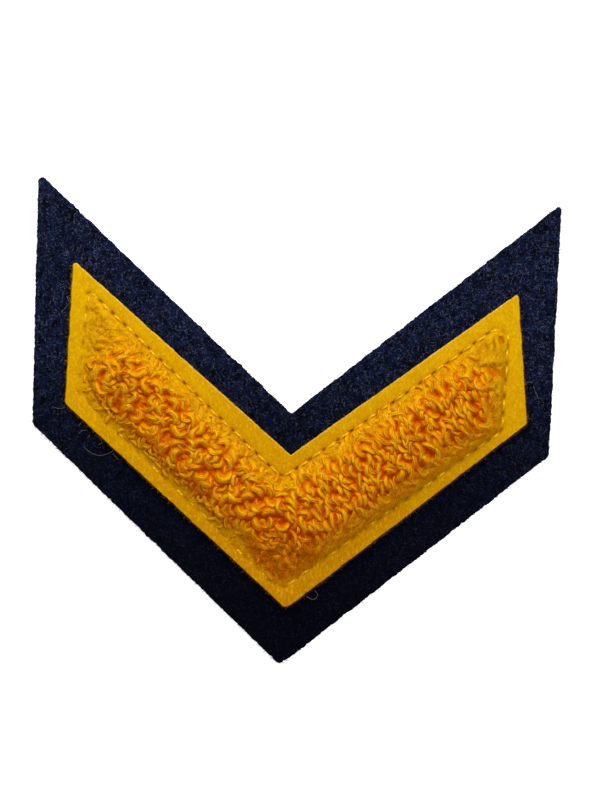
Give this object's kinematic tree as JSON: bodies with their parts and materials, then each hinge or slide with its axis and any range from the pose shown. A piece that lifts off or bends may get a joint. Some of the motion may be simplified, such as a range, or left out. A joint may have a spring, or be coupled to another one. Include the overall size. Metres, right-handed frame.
{
  "type": "chenille chevron",
  "caption": "V-shaped sew-on sleeve badge: looped gold chenille pile inside a seam on a gold felt chevron, laid on a larger navy felt chevron.",
  "frame": {"origin": "middle of the chevron's box, on the back face of the navy felt", "axes": "+X across the chevron from the left arm to the right, +Y from the point towards the arm tips, +Z out of the back face towards the pile"},
  "size_m": [0.102, 0.092, 0.0076],
  "materials": {
    "navy_felt": "napped wool felt",
    "gold_felt": "smooth dense felt",
    "chenille_yarn": "soft looped yarn with a slight sheen",
    "seam_thread": "lustrous sewing thread"
  },
  "bodies": {
    "root": {"backing_felt": "navy_felt", "top_felt": "gold_felt", "chenille_pile": "chenille_yarn"}
  },
  "joints": []
}
